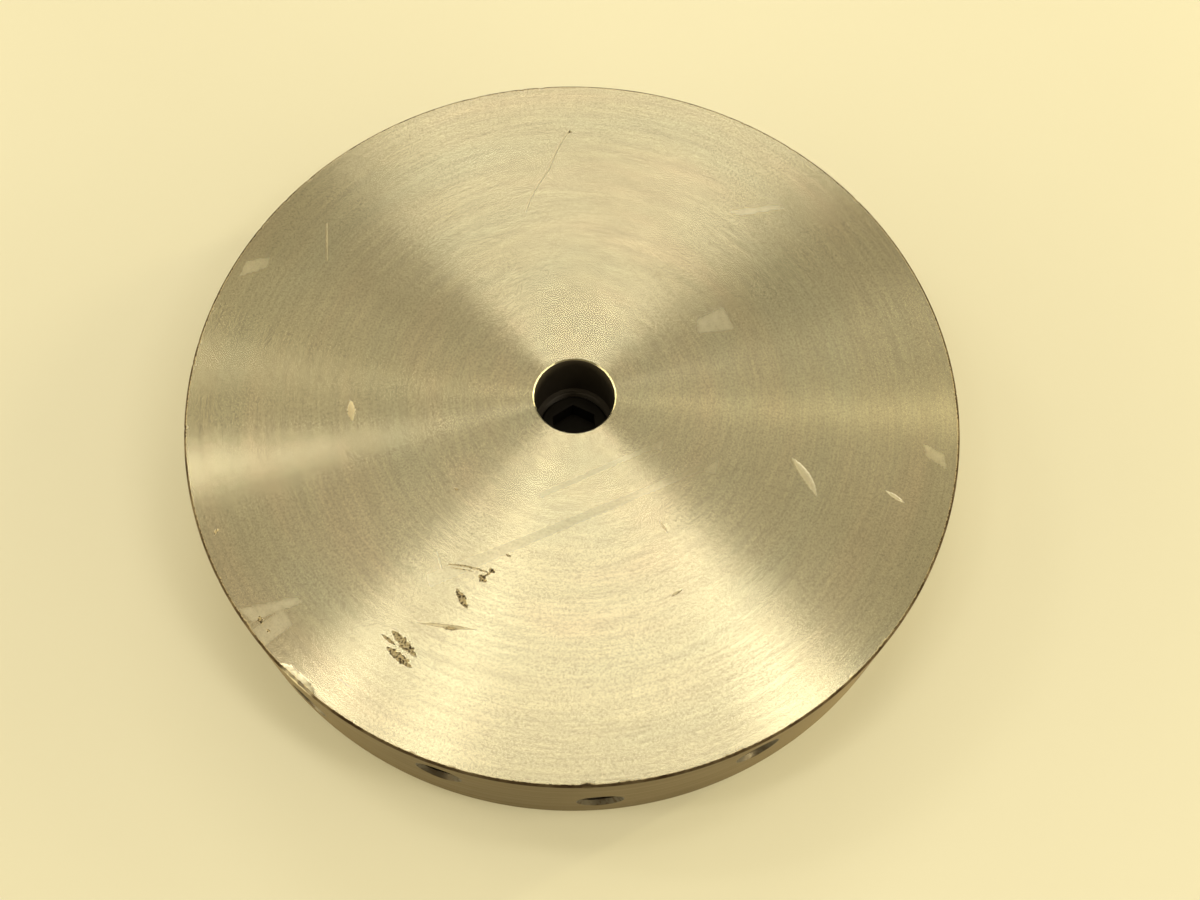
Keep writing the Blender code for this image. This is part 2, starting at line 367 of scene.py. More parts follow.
def tapped_hole_steel_with_painted_shade():
    shader = Shader("tapped_hole_steel_with_painted_shade")
    position = shader.node("ShaderNodeTexCoord").outputs["Object"]
    grain = shader.noise(position, 700.0, 3.0)
    cloud = shader.noise(position, 60.0, 3.0)
    # colours kept darker than the rim's steel: the steel's own grey plus painted shade inside the holes
    colour = shader.mix(shader.ramp(cloud, 0.35, 0.65), (0.09, 0.078, 0.065), (0.19, 0.175, 0.155))
    colour = shader.mix(shader.ramp(grain, 0.5, 0.75), colour, (0.07, 0.05, 0.035))
    return shader.finish(colour=colour, rough=shader.ramp(grain, 0.3, 0.7, 0.3, 0.5), metal=0.9,
                         normal=shader.bump(grain, 0.2, 0.05 * MM))


def blackened_steel():
    shader = Shader("blackened_steel")
    position = shader.node("ShaderNodeTexCoord").outputs["Object"]
    grain = shader.noise(position, 900.0, 3.0)
    cloud = shader.noise(position, 120.0, 3.0)
    colour = shader.mix(shader.ramp(cloud, 0.35, 0.7), (0.020, 0.018, 0.016), (0.045, 0.04, 0.034))
    return shader.finish(colour=colour, rough=shader.ramp(cloud, 0.3, 0.7, 0.35, 0.55), metal=0.6,
                         normal=shader.bump(grain, 0.25, 0.05 * MM))


def oiled_plug_steel():
    shader = Shader("oiled_plug_steel")
    position = shader.node("ShaderNodeTexCoord").outputs["Object"]
    grain = shader.noise(position, 900.0, 3.0)
    cloud = shader.noise(position, 160.0, 3.0)
    colour = shader.mix(shader.ramp(cloud, 0.35, 0.7), (0.012, 0.0105, 0.009), (0.018, 0.016, 0.0135))
    shader.principled.inputs["Specular IOR Level"].default_value = 0.08
    return shader.finish(colour=colour, rough=shader.ramp(cloud, 0.3, 0.7, 0.5, 0.7), metal=0.0,
                         normal=shader.bump(grain, 0.25, 0.05 * MM))


def soft_copper():
    shader = Shader("soft_copper")
    position = shader.node("ShaderNodeTexCoord").outputs["Object"]
    cloud = shader.noise(position, 150.0, 4.0)
    colour = shader.mix(shader.ramp(cloud, 0.35, 0.65), (0.42, 0.17, 0.09), (0.76, 0.40, 0.26))
    return shader.finish(colour=colour, rough=shader.ramp(cloud, 0.3, 0.7, 0.3, 0.5), metal=1.0,
                         normal=shader.bump(cloud, 0.1, 0.1 * MM))


def moulded_rubber():
    shader = Shader("moulded_rubber")
    position = shader.node("ShaderNodeTexCoord").outputs["Object"]
    grain = shader.noise(position, 1400.0, 3.0)
    dust = shader.noise(position, 90.0, 3.0)
    colour = shader.mix(shader.ramp(dust, 0.5, 0.75), (0.012, 0.012, 0.012), (0.05, 0.047, 0.04))
    return shader.finish(colour=colour, rough=shader.ramp(dust, 0.3, 0.7, 0.5, 0.75), metal=0.0,
                         normal=shader.bump(grain, 0.2, 0.04 * MM))


def pale_bench():
    """Pale near the disc and darker far from it, a painted pool of light round the disc; clear from below,
    so the underside shows.
    """
    shader = Shader("pale_bench")
    position, _, radius, _ = turning_coordinates(shader)
    cloud = shader.noise(position, 2.5, 3.0)
    colour = shader.mix(shader.ramp(cloud, 0.3, 0.7), (0.765, 0.770, 0.685), (0.785, 0.795, 0.715))
    # painted pool of light: the bench darkens with distance from the disc
    colour = shader.mix(shader.ramp(radius, 0.6, 1.7), colour, (0.14, 0.135, 0.12))
    below = shader.node("ShaderNodeNewGeometry").outputs["Backfacing"]
    clear = shader.node("ShaderNodeBsdfTransparent").outputs["BSDF"]
    solid = shader.principled.outputs["BSDF"]
    surface = shader.node("ShaderNodeMixShader", {0: below, 1: solid, 2: clear}).outputs["Shader"]
    shader.feed(shader.tree.nodes["Material Output"].inputs["Surface"], surface)
    return shader.finish(colour=colour, rough=0.5, metal=0.0)


# --- Mesh building ------------------------------------------------------------------------
class Skin:
    """Collects the closed surface of one piece, patch by patch; patches share edge points."""

    def __init__(self):
        self.points = []
        self.faces = []
        self.slots = []

    def add(self, points, faces, slot):
        start = len(self.points)
        self.points.extend(points)
        self.faces.extend([tuple(start + i for i in face) for face in faces])
        self.slots.extend([slot] * len(faces))

    def band(self, rows, slot):
        """Quads between closed rows of equally many points."""
        count = len(rows[0])
        faces = []
        for r in range(len(rows) - 1):
            for i in range(count):
                j = (i + 1) % count
                faces.append((r * count + i, r * count + j, (r + 1) * count + j, (r + 1) * count + i))
        self.add([p for row in rows for p in row], faces, slot)

    def cap(self, row, slot):
        self.add(list(row), [tuple(range(len(row)))], slot)

    def mesh(self, name, materials):
        mesh = bpy.data.meshes.new(name)
        mesh.from_pydata([tuple(p) for p in self.points], [], self.faces)
        for material in materials:
            mesh.materials.append(material)
        mesh.polygons.foreach_set("material_index", self.slots)
        work = bmesh.new()
        work.from_mesh(mesh)
        bmesh.ops.remove_doubles(work, verts=work.verts, dist=0.000002)
        bmesh.ops.recalc_face_normals(work, faces=work.faces)
        work.to_mesh(mesh)
        work.free()
        return mesh


def circle(radius, z, count):
    points = []
    for i in range(count):
        x, y = polar(radius, 2.0 * math.pi * i / count)
        points.append((x, y, z))
    return points


def triangulated(points, loops, keep):
    """Delaunay triangles of flat points in mm; loops are index lists of border edges."""
    edges = []
    for loop in loops:
        edges.extend((loop[i], loop[(i + 1) % len(loop)]) for i in range(len(loop)))
    result = delaunay_2d_cdt([Vector(p) for p in points], edges, [], 0, 1e-6)
    verts, faces = result[0], result[2]
    kept = []
    for face in faces:
        middle = sum((verts[i] for i in face), Vector((0.0, 0.0))) / len(face)
        if keep(middle.x, middle.y):
            kept.append(face)
    return verts, kept


def annulus(skin, outer, inner, extra, z, slot):
    """Flat ring between two circles of points (x, y, z), through the extra (x, y) points."""
    flat = [(p[0] / MM, p[1] / MM) for p in outer] + [(p[0] / MM, p[1] / MM) for p in inner]
    count = len(outer)
    loops = [list(range(count)), list(range(count, count + len(inner)))]
    flat += [(x / MM, y / MM) for x, y in extra]
    outer_radius = math.hypot(*flat[0])
    inner_radius = math.hypot(*flat[count])
    slack = 0.001
    low = inner_radius * math.cos(math.pi / len(inner)) - slack

    def keep(x, y):
        return low < math.hypot(x, y) < outer_radius + slack

    verts, faces = triangulated(flat, loops, keep)
    skin.add([(v.x * MM, v.y * MM, z) for v in verts], [tuple(f) for f in faces], slot)


def thread_wave(along, turn, pitch):
    """0 to 1 across a thread's profile, with flats at its crest and root, after a part of a turn."""
    phase = (along / pitch - turn) % 1.0
    ramp = 1.0 - abs(2.0 * phase - 1.0)
    return min(1.0, max(0.0, (ramp - 0.2) / 0.62))


# --- Marks on the faces -------------------------------------------------------------------
class Stroke:
    """A gouge, scratch or scrape between two places on the top face.

    Places are (distance from the axis in mm, azimuth in degrees from -Y towards +X); width
    and depth are in mm.  soil darkens it, bare brightens it, jag breaks up its floor.
    """

    def __init__(self, start, end, width, depth, soil=0.0, bare=0.0, jag=0.5, taper=0.7, bend=0.0):
        self.a = np.array(polar(start[0] * MM, math.radians(start[1])))
        self.b = np.array(polar(end[0] * MM, math.radians(end[1])))
        self.length = float(np.linalg.norm(self.b - self.a))
        self.along = (self.b - self.a) / self.length
        self.across = np.array((-self.along[1], self.along[0]))
        self.half = width * MM / 2.0
        self.depth = depth * MM
        self.soil, self.bare, self.jag, self.taper, self.bend = soil, bare, jag, taper, bend * MM

    def local(self, points):
        rel = points - self.a
        t = rel @ self.along / self.length
        d = rel @ self.across - self.bend * np.sin(np.pi * np.clip(t, 0.0, 1.0))
        return t, d

    def grid(self):
        """Extra mesh points over and a little round the mark."""
        step = min(0.6 * MM, max(0.16 * MM, self.half / 5.0))
        reach = self.half * 1.5 + step
        points = []
        rows = int(math.ceil(reach / step))
        count = int(math.ceil((self.length + 2.0 * step) / step))
        for i in range(-1, count + 1):
            t = min(1.2, max(-0.2, i * step / self.length))
            bend = self.bend * math.sin(math.pi * min(1.0, max(0.0, t)))
            for j in range(-rows, rows + 1):
                shift = 0.5 * step * (i % 2)
                place = self.a + self.along * (i * step) + self.across * (j * step + shift + bend)
                points.append(tuple(place))
        return points

    def press(self, points, z, soil, bare):
        t, d = self.local(points)
        near = np.nonzero((t > -0.03) & (t < 1.03) & (np.abs(d) < self.half * 1.6))[0]
        for i in near:
            x, y = points[i]
            wobble = noise.noise(Vector((x, y, 0.0)) * 1100.0)
            wobble += 0.6 * noise.noise(Vector((x, y, 0.1)) * 2600.0)
            grit = noise.noise(Vector((x, y, 0.3)) * 1500.0)
            grit += 0.5 * noise.noise(Vector((x, y, 0.2)) * 3600.0)
            shape = max(0.0, math.sin(math.pi * min(1.0, max(0.0, t[i])))) ** self.taper
            half = self.half * shape * (1.0 + 0.75 * self.jag * wobble)
            if half < 0.02 * MM:
                continue
            q = abs(d[i]) / half
            if q < 1.0:
                floor = (1.0 - q * q) ** 0.6
                rough = 1.0 - self.jag * (0.4 + 0.9 * grit)
                z[i] -= self.depth * floor * max(0.15, rough) * min(1.0, shape * 1.5)
                dark = 0.45 + 0.8 * self.jag * grit + 0.5 * q ** 3
                soil[i] = max(soil[i], min(1.0, max(0.3 * self.soil, self.soil * dark)))
                bare[i] = max(bare[i], min(1.0, self.bare * (0.7 + 0.6 * abs(wobble))))
            elif q < 1.35:
                z[i] += 0.02 * MM * (1.35 - q) / 0.35 * min(1.0, self.depth / (0.1 * MM))


class Smear:
    """A thin rub with straight sides, between corner places given as in Stroke.

    strength is how much it roughens the steel, light how much it brightens it.
    """

    def __init__(self, corners, strength, light=0.0):
        self.corners = np.array([polar(radius * MM, math.radians(azimuth)) for radius, azimuth in corners])
        self.strength = strength
        self.light = light

    def inside(self, points):
        """How far inside its nearest side each point is, in metres; negative outside."""
        middle = self.corners.mean(axis=0)
        depth = np.full(len(points), 1.0)
        for a, b in zip(self.corners, np.roll(self.corners, -1, axis=0)):
            normal = np.array((a[1] - b[1], b[0] - a[0])) / np.linalg.norm(b - a)
            normal *= math.copysign(1.0, (middle - a) @ normal)
            depth = np.minimum(depth, (points - a) @ normal)
        return depth

    def grid(self):
        step = 0.8 * MM
        low, high = self.corners.min(axis=0) - step, self.corners.max(axis=0) + step
        xs, ys = np.arange(low[0], high[0], step), np.arange(low[1], high[1], step)
        net = np.array([(x + 0.5 * step * (k % 2), y) for k, y in enumerate(ys) for x in xs])
        return [tuple(p) for p in net[self.inside(net) > -1.3 * step]]

    def press(self, points, rub, bare):
        depth = self.inside(points)
        for i in np.nonzero(depth > -0.2 * MM)[0]:
            patchy = noise.noise(Vector((*points[i], 0.0)) * 420.0)
            cover = min(1.0, (depth[i] + 0.2 * MM) / (0.8 * MM)) * (0.85 + 0.6 * patchy)
            rub[i] = max(rub[i], self.strength * cover)
            bare[i] = max(bare[i], self.light * cover)


STROKES = (
    # pit cluster of three gouges
    Stroke((114.8, -38.5), (118.3, -32.1), 3.0, 0.32, soil=0.75, jag=0.8),
    Stroke((120.7, -37.5), (122.4, -31.8), 2.6, 0.32, soil=0.85, jag=0.9),
    Stroke((118.0, -39.6), (118.5, -36.3), 1.1, 0.35, soil=0.9, jag=0.8),
    # single gouge further in
    Stroke((89.4, -32.4), (94.4, -28.0), 2.4, 0.32, soil=0.8, jag=0.8),
    # branching scratch that ends in two pits
    Stroke((83.3, -37.7), (78.9, -27.2), 0.7, 0.12, soil=0.6, jag=0.8, taper=0.3, bend=0.6),
    Stroke((83.6, -36.6), (80.9, -31.0), 0.5, 0.08, soil=0.5, jag=0.8, taper=0.3),
    Stroke((77.4, -27.5), (78.0, -25.6), 1.5, 0.45, soil=1.0, jag=0.7),
    Stroke((81.3, -29.2), (82.4, -26.7), 2.3, 0.45, soil=1.0, jag=0.9),
    Stroke((81.0, -27.8), (77.9, -26.5), 0.7, 0.25, soil=0.9, jag=0.7),
    # flat lens scratch
    Stroke((107.6, -35.7), (100.4, -24.2), 1.5, 0.10, soil=0.35, jag=0.5, taper=1.1),
    Stroke((104.6, -30.6), (102.6, -27.6), 1.1, 0.18, soil=0.75, jag=1.0),
    # bright lens scrape on the right, and a small one beyond it
    Stroke((86.8, 69.0), (100.8, 61.7), 3.2, 0.10, bare=0.9, jag=0.25, taper=0.9, bend=0.8),
    Stroke((124.1, 67.8), (132.5, 66.6), 1.4, 0.06, bare=0.8, jag=0.3, taper=0.9),
    # lens pit on the left
    Stroke((86.7, -92.2), (86.0, -86.2), 2.8, 0.12, soil=0.3, bare=0.35, jag=0.5, taper=0.9),
    # fine scratches
    Stroke((128.9, -131.5), (116.9, -124.5), 0.35, 0.05, soil=0.5, jag=0.3, taper=0.3),
    Stroke((126.3, 177.2), (106.1, -177.9), 0.32, 0.05, soil=0.45, jag=0.3, taper=0.25, bend=-0.8),
    Stroke((106.1, -177.9), (86.9, -170.3), 0.28, 0.04, soil=0.4, jag=0.3, taper=0.25, bend=-1.0),
    Stroke((81.9, -41.9), (86.8, -37.4), 0.5, 0.04, bare=0.5, jag=0.3, taper=0.4),
    # small pits
    Stroke((124.9, 177.6), (125.8, 176.9), 1.5, 0.20, soil=0.7, jag=0.8),
    Stroke((69.9, -24.9), (70.3, -23.1), 0.9, 0.15, soil=0.6, jag=0.8),
    Stroke((59.8, -53.0), (58.9, -51.2), 0.7, 0.15, soil=0.8, jag=0.8),
    Stroke((88.7, 19.7), (88.3, 22.8), 0.9, 0.12, soil=0.55, jag=0.9),
    Stroke((60.6, 27.7), (66.7, 27.8), 0.7, 0.05, soil=0.4, jag=0.9),
    Stroke((144.2, -55.7), (145.0, -54.4), 1.5, 0.35, soil=1.0, jag=0.9),
    Stroke((144.9, -53.4), (144.5, -52.7), 1.0, 0.25, soil=0.9, jag=0.9),
    Stroke((143.0, -70.9), (145.0, -70.2), 1.2, 0.25, soil=0.9, jag=0.9),
)

SMEARS = (
    Smear(((59.7, 120.9), (71.6, 119.9), (70.1, 111.6), (56.7, 115.9)), 0.6, 0.45),
    # two long straight rubs, each with a wedge at its end
    Smear(((91.0, -40.1), (94.0, -37.7), (58.2, 53.8), (56.7, 55.6)), 0.26),
    Smear(((58.2, 54.0), (61.2, 60.0), (62.7, 54.8)), 0.6, 0.5),
    Smear(((43.3, -22.4), (44.8, -19.9), (37.3, 48.4), (35.8, 50.9)), 0.22),
    Smear(((35.8, 49.2), (38.8, 57.5), (40.3, 51.5)), 0.5, 0.45),
    # rubs beside the hammered dent
    Smear(((148.6, -58.2), (147.2, -55.6), (129.2, -53.4), (130.0, -54.6)), 0.6, 0.4),
    Smear(((148.8, -54.6), (148.8, -51.6), (137.0, -51.6), (136.0, -54.4)), 0.4, 0.3),
    # faint patches
    Smear(((107.0, 139.4), (108.8, 136.8), (123.6, 131.4), (122.2, 132.8)), 0.5, 0.3),
    Smear(((145.8, -118.0), (145.0, -115.2), (137.0, -118.4), (138.2, -120.4)), 0.5, 0.3),
    Smear(((136.0, 77.8), (137.4, 75.6), (145.2, 74.2), (144.0, 76.4)), 0.4, 0.25),
)

# distance from the axis in mm, width and depth in mm of tool marks deeper than the rest
TOOL_RINGS = (
    (124.6, 1.2, 0.004),
    (96.0, 1.0, 0.003),
    (137.5, 1.0, 0.003),
    (61.0, 1.0, 0.003),
    (27.5, 0.8, 0.004),
)
RING_POINTS = 480

# the hammered dent in the top edge: its azimuth, and half its length, width and height in mm
DENT_AZIMUTH = -44.8
DENT_REACH = (9.0, 3.3, 3.0)
DENT_DEPTH = 0.9 * MM

EDGE_POINTS = 1440
EDGE_ROWS = (0.3, 0.7, 1.2, 1.8, 2.6, 3.4, 4.4)      # mm in from the edge break
BORE_POINTS = 240
GROOVE_POINTS = 360
HOLE_POINTS = 48

SLOT_FACE, SLOT_RIM, SLOT_BORE, SLOT_HOLE = range(4)
SHARP_ANGLE = math.radians(32.0)


def face_points():
    """Extra points of the top face: an open net, the tool rings and the marks."""
    points = []
    net = 6.0 * MM
    radius = BORE_RADIUS + net
    while radius < DISC_RADIUS - net / 2.0:
        count = int(2.0 * math.pi * radius / net)
        points.extend(polar(radius, 2.0 * math.pi * (i + 0.3) / count) for i in range(count))
        radius += net
    for middle, width, _ in TOOL_RINGS:
        for offset in (-width, -width / 2.0, 0.0, width / 2.0, width):
            ring = (middle + offset) * MM
            points.extend(polar(ring, 2.0 * math.pi * i / RING_POINTS) for i in range(RING_POINTS))
    for inward in EDGE_ROWS:
        ring = DISC_RADIUS - EDGE_BREAK - inward * MM
        points.extend(polar(ring, 2.0 * math.pi * (i + 0.5) / EDGE_POINTS) for i in range(EDGE_POINTS))
    for mark in STROKES + SMEARS:
        points.extend(mark.grid())
    border = DISC_RADIUS - EDGE_BREAK - 0.2 * MM
    return [p for p in points if math.hypot(*p) < border]


def edge_nicks():
    """(azimuth, half width, depth) of the dings in the top edge, in radians and metres."""
    random = np.random.default_rng(7)
    nicks = [(math.radians(-1.9), 2.2 * MM, 0.7 * MM)]
    for _ in range(46):
        azimuth = random.uniform(-math.pi, math.pi)
        nicks.append((azimuth, random.uniform(0.3, 1.6) * MM, random.uniform(0.05, 0.35) * MM))
    return nicks


def wear(mesh):
    """Presses the marks, tool rings, edge nicks and the hammered dent into the disc's mesh, and paints
    shade along the top edge break.
    """
    count = len(mesh.vertices)
    co = np.empty(count * 3)
    mesh.vertices.foreach_get("co", co)
    co = co.reshape(-1, 3)
    soil = np.zeros(count)
    bare = np.zeros(count)
    rub = np.zeros(count)
    radius = np.hypot(co[:, 0], co[:, 1])
    azimuth = np.arctan2(co[:, 0], -co[:, 1])
    top = np.nonzero((co[:, 2] > FACE_Z - 0.01 * MM) & (radius > BORE_RADIUS + 0.6 * MM))[0]
    flat = co[top][:, :2]
    z, s, b, r = co[top, 2], soil[top], bare[top], rub[top]
    for stroke in STROKES:
        stroke.press(flat, z, s, b)
    for smear in SMEARS:
        smear.press(flat, r, b)
    for middle, width, depth in TOOL_RINGS:
        off = np.abs(radius[top] - middle * MM) / (width * MM / 2.0)
        z -= np.clip(1.0 - off, 0.0, 1.0) * depth * MM
    co[top, 2], soil[top], bare[top], rub[top] = z, s, b, r

    upper = np.nonzero((co[:, 2] > TOP_Z - 6.0 * MM) & (radius > DISC_RADIUS - 4.0 * MM))[0]
    for middle, half, depth in edge_nicks():
        off = np.abs((azimuth[upper] - middle + math.pi) % (2.0 * math.pi) - math.pi) * DISC_RADIUS / half
        inside = np.clip((radius[upper] - (DISC_RADIUS - 1.6 * MM)) / (1.6 * MM), 0.0, 1.0)
        height = np.clip(1.0 - (TOP_Z - co[upper, 2]) / (2.0 * MM), 0.0, 1.0)
        push = depth * np.clip(1.0 - off ** 2, 0.0, 1.0) * inside * height
        scale = 1.0 - push / radius[upper]
        co[upper, 0] *= scale
        co[upper, 1] *= scale
        co[upper, 2] -= 0.5 * push
        soil[upper] = np.maximum(soil[upper], np.clip(push / (0.3 * MM), 0.0, 0.6))

    # painted shade: the top edge break is darkened all round as if it lay in shadow, through the same
    # attribute that holds the dirt in the marks and nicks
    edge = upper[(radius[upper] > DISC_RADIUS - 0.82 * MM) & (co[upper, 2] > TOP_Z - 0.9 * MM)]
    for i in edge:
        patchy = noise.noise(Vector(co[i]) * 120.0) + 0.5 * noise.noise(Vector(co[i]) * 700.0)
        soil[i] = max(soil[i], min(1.0, 0.75 + 0.5 * patchy))

    middle = math.radians(DENT_AZIMUTH)
    length, width, height = DENT_REACH
    for i in upper:
        along = (azimuth[i] - middle) * DISC_RADIUS / (length * MM)
        inward = (DISC_RADIUS - radius[i]) / (width * MM)
        down = (TOP_Z - co[i, 2]) / (height * MM)
        q = along ** 2 + inward ** 2 + down ** 2
        if q < 1.0:
            facet = noise.cell(Vector(co[i]) * 900.0)
            depth = DENT_DEPTH * (1.0 - q) * (0.75 + 0.35 * facet)
            co[i, 2] -= 0.7 * depth
            co[i, 0] *= 1.0 - 0.7 * depth / radius[i]
            co[i, 1] *= 1.0 - 0.7 * depth / radius[i]
            bare[i] = max(bare[i], min(1.0, 2.2 * (1.0 - q)))
    mesh.vertices.foreach_set("co", co.reshape(-1))
    for name, values in (("soil", soil), ("bare", bare), ("rub", rub)):
        layer = mesh.attributes.new(name, "FLOAT", "POINT")
        layer.data.foreach_set("value", values)


def rim_patch(skin, places):
    """The rim unrolled flat, triangulated round the holes, and rolled up again."""
    step = 2.0 * math.pi / EDGE_POINTS
    seam = math.radians(11.25) - math.pi
    top_z = (TOP_Z - EDGE_BREAK) / MM
    foot_z = EDGE_BREAK / MM
    radius = DISC_RADIUS / MM
    angles = [seam + i * step for i in range(EDGE_POINTS + 1)]
    side = [foot_z + (top_z - foot_z) * k / 24.0 for k in range(1, 24)]
    border = [(a * radius, top_z) for a in angles]
    border += [(angles[-1] * radius, z) for z in reversed(side)]
    border += [(a * radius, foot_z) for a in reversed(angles)]
    border += [(angles[0] * radius, z) for z in side]
    points = list(border)
    loops = [list(range(len(border)))]
    mouths = []
    for _, azimuth, height in places:
        azimuth = (azimuth - seam) % (2.0 * math.pi) + seam
        mouth = mouth_points(height)
        start = len(points)
        points.extend(((azimuth + turn) * radius, z / MM) for turn, z in mouth)
        loops.append(list(range(start, start + len(mouth))))
        mouths.append((azimuth * radius, height / MM))
    hole = HOLE_MOUTH_RADIUS / MM
    for x0, z0 in mouths:
        for grow in (1.12, 1.3):
            points.extend((x0 + hole * grow * math.cos(a), z0 + hole * grow * math.sin(a))
                          for a in np.linspace(0.0, 2.0 * math.pi, HOLE_POINTS, endpoint=False))
    pitch = 2.2
    columns = int((angles[-1] - angles[0]) * radius / pitch)
    for i in range(1, columns):
        for k in range(1, 22):
            x = angles[0] * radius + i * pitch
            z = foot_z + (k + 0.5 * (i % 2)) * (top_z - foot_z) / 22.0
            if z > top_z - 2.2 or x > angles[-1] * radius - 1.0:
                continue
            if all(math.hypot(x - mx, z - mz) > hole * 1.4 for mx, mz in mouths):
                points.append((x, z))
    for down in (0.4, 0.9, 1.6):
        points.extend(((angles[0] + (i + 0.5) * step) * radius, top_z - down)
                      for i in range(1, EDGE_POINTS - 1))

    def keep(x, z):
        return all(math.hypot(x - mx, z - mz) > hole * 0.985 for mx, mz in mouths)

    verts, faces = triangulated(points, loops, keep)
    rolled = []
    for v in verts:
        x, y = polar(DISC_RADIUS, v.x / radius)
        rolled.append((x, y, v.y * MM))
    skin.add(rolled, [tuple(f) for f in faces], SLOT_RIM)


def mouth_points(height):
    """(azimuth off the hole's, z) where the 45 degree mouth meets the round rim."""
    points = []
    for i in range(HOLE_POINTS):
        turn = 2.0 * math.pi * i / HOLE_POINTS
        radius = HOLE_MOUTH_RADIUS
        for _ in range(12):
            across = radius * math.cos(turn)
            depth = DISC_RADIUS - math.sqrt(DISC_RADIUS ** 2 - across ** 2)
            radius = HOLE_MOUTH_RADIUS - depth
        across = radius * math.cos(turn)
        points.append((math.asin(across / DISC_RADIUS), height + radius * math.sin(turn)))
    return points


def hole_walls(skin, azimuth, height):
    """Mouth, thread, plain wall and drill point of one rim hole."""
    out = np.array((*polar(1.0, azimuth), 0.0))
    side = np.array((math.cos(azimuth), math.sin(azimuth), 0.0))
    up = np.array((0.0, 0.0, 1.0))
    centre = np.array((0.0, 0.0, height))
    rows = [[(*polar(DISC_RADIUS, azimuth + turn), z) for turn, z in mouth_points(height)]]
    depths = [0.4 * MM + 0.25 * MM * k for k in range(26)]
    for depth in depths:
        row = []
        for i in range(HOLE_POINTS):
            turn = i / HOLE_POINTS
            cone = HOLE_MOUTH_RADIUS - depth
            tap = HOLE_RADIUS + HOLE_THREAD_DEPTH * thread_wave(depth, turn, HOLE_PITCH)
            reach = max(cone, tap)
            if depth == depths[-1]:
                reach = HOLE_RADIUS
            angle = 2.0 * math.pi * turn
            place = (DISC_RADIUS - depth) * out + centre
            row.append(tuple(place + reach * (math.cos(angle) * side + math.sin(angle) * up)))
        rows.append(row)
    seat = SCREW_RECESS + SCREW_LENGTH + GAP
    point = HOLE_RADIUS / math.tan(DRILL_POINT_HALF_ANGLE)
    for depth, reach in ((seat, HOLE_RADIUS), (seat + point * 0.97, HOLE_RADIUS * 0.03)):
        row = []
        for i in range(HOLE_POINTS):
            angle = 2.0 * math.pi * i / HOLE_POINTS
            place = (DISC_RADIUS - depth) * out + centre
            row.append(tuple(place + reach * (math.cos(angle) * side + math.sin(angle) * up)))
        rows.append(row)
    skin.band(rows, SLOT_HOLE)
    skin.cap(rows[-1], SLOT_HOLE)


def bore_walls(skin):
    """From the top edge break down the plain bore and the M30 tapping to the lip."""
    rows = [circle(BORE_RADIUS + BORE_BREAK, FACE_Z, BORE_POINTS)]
    rows.append(circle(BORE_RADIUS, FACE_Z - BORE_BREAK, BORE_POINTS))
    skin.band(rows, SLOT_FACE)
    rows = [rows[-1]]
    taper_z = BORE_FLOOR_Z + BORE_RADIUS - PLUG_TAPPING_RADIUS
    for z in np.linspace(FACE_Z - BORE_BREAK, taper_z, 8)[1:]:
        rows.append(circle(BORE_RADIUS, float(z), BORE_POINTS))
    z = taper_z
    while z > LIP_HEIGHT + 1.0 * MM:
        z -= PLUG_PITCH / 6.0
        row = []
        for i in range(BORE_POINTS):
            turn = i / BORE_POINTS
            tap = PLUG_TAPPING_RADIUS + PLUG_THREAD_DEPTH * thread_wave(taper_z - z, turn, PLUG_PITCH)
            cone = PLUG_TAPPING_RADIUS + z - BORE_FLOOR_Z
            x, y = polar(max(tap, cone), 2.0 * math.pi * turn)
            row.append((x, y, z))
        rows.append(row)
    rows.append(circle(PLUG_TAPPING_RADIUS, z - 0.3 * MM, BORE_POINTS))
    rows.append(circle(PLUG_TAPPING_RADIUS, LIP_HEIGHT, BORE_POINTS))
    rows.append(circle(LIP_RADIUS, LIP_HEIGHT, BORE_POINTS))
    rows.append(circle(LIP_RADIUS, BORE_BREAK, BORE_POINTS))
    skin.band(rows, SLOT_BORE)
    lip_rows = [rows[-1], circle(LIP_RADIUS + BORE_BREAK, 0.0, BORE_POINTS)]
    skin.band(lip_rows, SLOT_FACE)


def make_disc(materials):
    skin = Skin()
    places = hole_places()
    top_outer = circle(DISC_RADIUS - EDGE_BREAK, FACE_Z, EDGE_POINTS)
    top_inner = circle(BORE_RADIUS + BORE_BREAK, FACE_Z, BORE_POINTS)
    annulus(skin, top_outer, top_inner, face_points(), FACE_Z, SLOT_FACE)
    middle_break = circle(DISC_RADIUS - EDGE_BREAK / 2.0, (FACE_Z + TOP_Z - EDGE_BREAK) / 2.0, EDGE_POINTS)
    skin.band([top_outer, middle_break, circle(DISC_RADIUS, TOP_Z - EDGE_BREAK, EDGE_POINTS)], SLOT_RIM)
    rim_patch(skin, places)
    foot = circle(DISC_RADIUS - EDGE_BREAK, 0.0, EDGE_POINTS)
    skin.band([circle(DISC_RADIUS, EDGE_BREAK, EDGE_POINTS), foot], SLOT_RIM)
    for _, azimuth, height in places:
        hole_walls(skin, azimuth, height)
    groove_inner = GROOVE_OUTER - GROOVE_WIDTH
    groove = [
        circle(GROOVE_OUTER, 0.0, GROOVE_POINTS),
        circle(GROOVE_OUTER, GROOVE_DEPTH, GROOVE_POINTS),
        circle(groove_inner, GROOVE_DEPTH, GROOVE_POINTS),
        circle(groove_inner, 0.0, GROOVE_POINTS)]
    annulus(skin, foot, groove[0], [], 0.0, SLOT_FACE)
    skin.band(groove, SLOT_FACE)
    annulus(skin, groove[3], circle(LIP_RADIUS + BORE_BREAK, 0.0, BORE_POINTS), [], 0.0, SLOT_FACE)
    bore_walls(skin)
    mesh = skin.mesh("disc_body", materials)
    wear(mesh)
    finish_piece("disc_body", mesh, "flange", ["flange_disc"])


